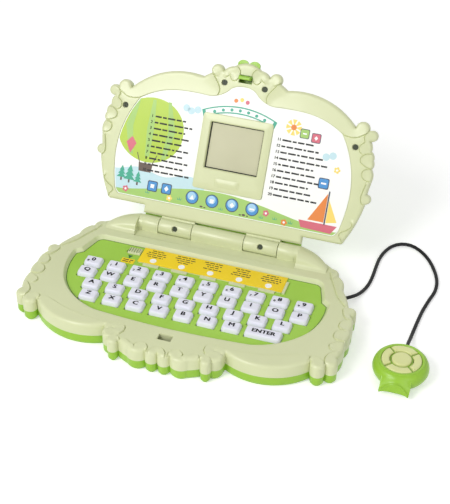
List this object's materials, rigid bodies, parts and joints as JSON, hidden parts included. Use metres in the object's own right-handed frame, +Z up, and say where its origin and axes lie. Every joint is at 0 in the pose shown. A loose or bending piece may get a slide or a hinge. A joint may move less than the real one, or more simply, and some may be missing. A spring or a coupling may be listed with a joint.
{
  "type": "toy laptop computer",
  "caption": "Toy laptop with an ornate frame-shaped base and lid, a letter keyboard, a small display and a round mouse on a cord.",
  "frame": {"origin": "on the desk, in the plane of symmetry of base and lid, under the line where the open lid's face begins", "axes": "+Z up, +Y towards the back (behind the open lid), +X towards the mouse"},
  "size_m": [0.3657, 0.2596, 0.1671],
  "materials": {
    "pale_shell": "satin moulded pale green plastic",
    "bright_shell": "satin moulded bright green plastic",
    "deck_plastic": "lightly textured bright green plastic",
    "key_plastic": "white key caps with printed legends",
    "card": "printed yellow card",
    "print": null,
    "display": "grey green liquid crystal display",
    "board": "circuit board with a black speaker",
    "rubber": "grey silicone membrane",
    "pad_plastic": "pale yellow green buttons",
    "cord_rubber": "soft black cord"
  },
  "bodies": {
    "base": {"base_bottom": "bright_shell", "base_top": "pale_shell", "key_deck": "deck_plastic", "mode_card": "card", "card_tray": "pale_shell", "battery_door": "bright_shell", "circuit_board": "board", "key_membrane": "rubber", "mouse_top": "bright_shell", "mouse_bottom": "bright_shell", "mouse_cord": "cord_rubber"},
    "lid": {"lid_inner_frame": "pale_shell", "lid_outer_cover": "bright_shell", "lid_print_panel": "print", "lcd_screen": "display", "hinge_covers": "pale_shell"},
    "latch": {"latch": "bright_shell"},
    "slider": {"power_slider": "pale_shell"},
    "key_0": {"key_0": "key_plastic"},
    "key_1": {"key_1": "key_plastic"},
    "key_2": {"key_2": "key_plastic"},
    "key_3": {"key_3": "key_plastic"},
    "key_4": {"key_4": "key_plastic"},
    "key_5": {"key_5": "key_plastic"},
    "key_6": {"key_6": "key_plastic"},
    "key_7": {"key_7": "key_plastic"},
    "key_8": {"key_8": "key_plastic"},
    "key_9": {"key_9": "key_plastic"},
    "key_Q": {"key_Q": "key_plastic"},
    "key_W": {"key_W": "key_plastic"},
    "key_E": {"key_E": "key_plastic"},
    "key_R": {"key_R": "key_plastic"},
    "key_T": {"key_T": "key_plastic"},
    "key_Y": {"key_Y": "key_plastic"},
    "key_U": {"key_U": "key_plastic"},
    "key_I": {"key_I": "key_plastic"},
    "key_O": {"key_O": "key_plastic"},
    "key_P": {"key_P": "key_plastic"},
    "key_A": {"key_A": "key_plastic"},
    "key_S": {"key_S": "key_plastic"},
    "key_D": {"key_D": "key_plastic"},
    "key_F": {"key_F": "key_plastic"},
    "key_G": {"key_G": "key_plastic"},
    "key_H": {"key_H": "key_plastic"},
    "key_J": {"key_J": "key_plastic"},
    "key_K": {"key_K": "key_plastic"},
    "key_L": {"key_L": "key_plastic"},
    "key_Z": {"key_Z": "key_plastic"},
    "key_X": {"key_X": "key_plastic"},
    "key_C": {"key_C": "key_plastic"},
    "key_V": {"key_V": "key_plastic"},
    "key_B": {"key_B": "key_plastic"},
    "key_N": {"key_N": "key_plastic"},
    "key_M": {"key_M": "key_plastic"},
    "key_enter": {"key_enter": "key_plastic"},
    "mouse_button_right": {"mouse_button_right": "pad_plastic"},
    "mouse_button_back": {"mouse_button_back": "pad_plastic"},
    "mouse_button_left": {"mouse_button_left": "pad_plastic"},
    "mouse_button_front": {"mouse_button_front": "pad_plastic"},
    "mouse_button_middle": {"mouse_button_middle": "pad_plastic"}
  },
  "joints": [
    {"name": "lid_hinge", "type": "hinge", "parent": "base", "child": "lid", "pos_m": [0, -0.007, 0.0246], "axis": [1, 0, 0], "range_deg": [0, 119]},
    {"name": "latch_slide", "type": "slide", "parent": "lid", "child": "latch", "axis": [0, -0.4848, -0.8746], "range_m": [0, 0.0026], "stiffness_N_per_m": 400},
    {"name": "power_slide", "type": "slide", "parent": "base", "child": "slider", "axis": [-1, 0, 0], "range_m": [0, 0.0045]},
    {"name": "key_0_press", "type": "slide", "parent": "base", "child": "key_0", "axis": [0, 0, -1], "range_m": [0, 0.0016], "stiffness_N_per_m": 300, "springref_m": -0.0005},
    {"name": "key_1_press", "type": "slide", "parent": "base", "child": "key_1", "axis": [0, 0, -1], "range_m": [0, 0.0016], "stiffness_N_per_m": 300, "springref_m": -0.0005},
    {"name": "key_2_press", "type": "slide", "parent": "base", "child": "key_2", "axis": [0, 0, -1], "range_m": [0, 0.0016], "stiffness_N_per_m": 300, "springref_m": -0.0005},
    {"name": "key_3_press", "type": "slide", "parent": "base", "child": "key_3", "axis": [0, 0, -1], "range_m": [0, 0.0016], "stiffness_N_per_m": 300, "springref_m": -0.0005},
    {"name": "key_4_press", "type": "slide", "parent": "base", "child": "key_4", "axis": [0, 0, -1], "range_m": [0, 0.0016], "stiffness_N_per_m": 300, "springref_m": -0.0005},
    {"name": "key_5_press", "type": "slide", "parent": "base", "child": "key_5", "axis": [0, 0, -1], "range_m": [0, 0.0016], "stiffness_N_per_m": 300, "springref_m": -0.0005},
    {"name": "key_6_press", "type": "slide", "parent": "base", "child": "key_6", "axis": [0, 0, -1], "range_m": [0, 0.0016], "stiffness_N_per_m": 300, "springref_m": -0.0005},
    {"name": "key_7_press", "type": "slide", "parent": "base", "child": "key_7", "axis": [0, 0, -1], "range_m": [0, 0.0016], "stiffness_N_per_m": 300, "springref_m": -0.0005},
    {"name": "key_8_press", "type": "slide", "parent": "base", "child": "key_8", "axis": [0, 0, -1], "range_m": [0, 0.0016], "stiffness_N_per_m": 300, "springref_m": -0.0005},
    {"name": "key_9_press", "type": "slide", "parent": "base", "child": "key_9", "axis": [0, 0, -1], "range_m": [0, 0.0016], "stiffness_N_per_m": 300, "springref_m": -0.0005},
    {"name": "key_Q_press", "type": "slide", "parent": "base", "child": "key_Q", "axis": [0, 0, -1], "range_m": [0, 0.0016], "stiffness_N_per_m": 300, "springref_m": -0.0005},
    {"name": "key_W_press", "type": "slide", "parent": "base", "child": "key_W", "axis": [0, 0, -1], "range_m": [0, 0.0016], "stiffness_N_per_m": 300, "springref_m": -0.0005},
    {"name": "key_E_press", "type": "slide", "parent": "base", "child": "key_E", "axis": [0, 0, -1], "range_m": [0, 0.0016], "stiffness_N_per_m": 300, "springref_m": -0.0005},
    {"name": "key_R_press", "type": "slide", "parent": "base", "child": "key_R", "axis": [0, 0, -1], "range_m": [0, 0.0016], "stiffness_N_per_m": 300, "springref_m": -0.0005},
    {"name": "key_T_press", "type": "slide", "parent": "base", "child": "key_T", "axis": [0, 0, -1], "range_m": [0, 0.0016], "stiffness_N_per_m": 300, "springref_m": -0.0005},
    {"name": "key_Y_press", "type": "slide", "parent": "base", "child": "key_Y", "axis": [0, 0, -1], "range_m": [0, 0.0016], "stiffness_N_per_m": 300, "springref_m": -0.0005},
    {"name": "key_U_press", "type": "slide", "parent": "base", "child": "key_U", "axis": [0, 0, -1], "range_m": [0, 0.0016], "stiffness_N_per_m": 300, "springref_m": -0.0005},
    {"name": "key_I_press", "type": "slide", "parent": "base", "child": "key_I", "axis": [0, 0, -1], "range_m": [0, 0.0016], "stiffness_N_per_m": 300, "springref_m": -0.0005},
    {"name": "key_O_press", "type": "slide", "parent": "base", "child": "key_O", "axis": [0, 0, -1], "range_m": [0, 0.0016], "stiffness_N_per_m": 300, "springref_m": -0.0005},
    {"name": "key_P_press", "type": "slide", "parent": "base", "child": "key_P", "axis": [0, 0, -1], "range_m": [0, 0.0016], "stiffness_N_per_m": 300, "springref_m": -0.0005},
    {"name": "key_A_press", "type": "slide", "parent": "base", "child": "key_A", "axis": [0, 0, -1], "range_m": [0, 0.0016], "stiffness_N_per_m": 300, "springref_m": -0.0005},
    {"name": "key_S_press", "type": "slide", "parent": "base", "child": "key_S", "axis": [0, 0, -1], "range_m": [0, 0.0016], "stiffness_N_per_m": 300, "springref_m": -0.0005},
    {"name": "key_D_press", "type": "slide", "parent": "base", "child": "key_D", "axis": [0, 0, -1], "range_m": [0, 0.0016], "stiffness_N_per_m": 300, "springref_m": -0.0005},
    {"name": "key_F_press", "type": "slide", "parent": "base", "child": "key_F", "axis": [0, 0, -1], "range_m": [0, 0.0016], "stiffness_N_per_m": 300, "springref_m": -0.0005},
    {"name": "key_G_press", "type": "slide", "parent": "base", "child": "key_G", "axis": [0, 0, -1], "range_m": [0, 0.0016], "stiffness_N_per_m": 300, "springref_m": -0.0005},
    {"name": "key_H_press", "type": "slide", "parent": "base", "child": "key_H", "axis": [0, 0, -1], "range_m": [0, 0.0016], "stiffness_N_per_m": 300, "springref_m": -0.0005},
    {"name": "key_J_press", "type": "slide", "parent": "base", "child": "key_J", "axis": [0, 0, -1], "range_m": [0, 0.0016], "stiffness_N_per_m": 300, "springref_m": -0.0005},
    {"name": "key_K_press", "type": "slide", "parent": "base", "child": "key_K", "axis": [0, 0, -1], "range_m": [0, 0.0016], "stiffness_N_per_m": 300, "springref_m": -0.0005},
    {"name": "key_L_press", "type": "slide", "parent": "base", "child": "key_L", "axis": [0, 0, -1], "range_m": [0, 0.0016], "stiffness_N_per_m": 300, "springref_m": -0.0005},
    {"name": "key_Z_press", "type": "slide", "parent": "base", "child": "key_Z", "axis": [0, 0, -1], "range_m": [0, 0.0016], "stiffness_N_per_m": 300, "springref_m": -0.0005},
    {"name": "key_X_press", "type": "slide", "parent": "base", "child": "key_X", "axis": [0, 0, -1], "range_m": [0, 0.0016], "stiffness_N_per_m": 300, "springref_m": -0.0005},
    {"name": "key_C_press", "type": "slide", "parent": "base", "child": "key_C", "axis": [0, 0, -1], "range_m": [0, 0.0016], "stiffness_N_per_m": 300, "springref_m": -0.0005},
    {"name": "key_V_press", "type": "slide", "parent": "base", "child": "key_V", "axis": [0, 0, -1], "range_m": [0, 0.0016], "stiffness_N_per_m": 300, "springref_m": -0.0005},
    {"name": "key_B_press", "type": "slide", "parent": "base", "child": "key_B", "axis": [0, 0, -1], "range_m": [0, 0.0016], "stiffness_N_per_m": 300, "springref_m": -0.0005},
    {"name": "key_N_press", "type": "slide", "parent": "base", "child": "key_N", "axis": [0, 0, -1], "range_m": [0, 0.0016], "stiffness_N_per_m": 300, "springref_m": -0.0005},
    {"name": "key_M_press", "type": "slide", "parent": "base", "child": "key_M", "axis": [0, 0, -1], "range_m": [0, 0.0016], "stiffness_N_per_m": 300, "springref_m": -0.0005},
    {"name": "key_enter_press", "type": "slide", "parent": "base", "child": "key_enter", "axis": [0, 0, -1], "range_m": [0, 0.0016], "stiffness_N_per_m": 300, "springref_m": -0.0005},
    {"name": "mouse_button_right_press", "type": "slide", "parent": "base", "child": "mouse_button_right", "axis": [0, 0, -1], "range_m": [0, 0.0009], "stiffness_N_per_m": 400, "springref_m": -0.0005},
    {"name": "mouse_button_back_press", "type": "slide", "parent": "base", "child": "mouse_button_back", "axis": [0, 0, -1], "range_m": [0, 0.0009], "stiffness_N_per_m": 400, "springref_m": -0.0005},
    {"name": "mouse_button_left_press", "type": "slide", "parent": "base", "child": "mouse_button_left", "axis": [0, 0, -1], "range_m": [0, 0.0009], "stiffness_N_per_m": 400, "springref_m": -0.0005},
    {"name": "mouse_button_front_press", "type": "slide", "parent": "base", "child": "mouse_button_front", "axis": [0, 0, -1], "range_m": [0, 0.0009], "stiffness_N_per_m": 400, "springref_m": -0.0005},
    {"name": "mouse_button_middle_press", "type": "slide", "parent": "base", "child": "mouse_button_middle", "axis": [0, 0, -1], "range_m": [0, 0.0009], "stiffness_N_per_m": 400, "springref_m": -0.0005}
  ]
}
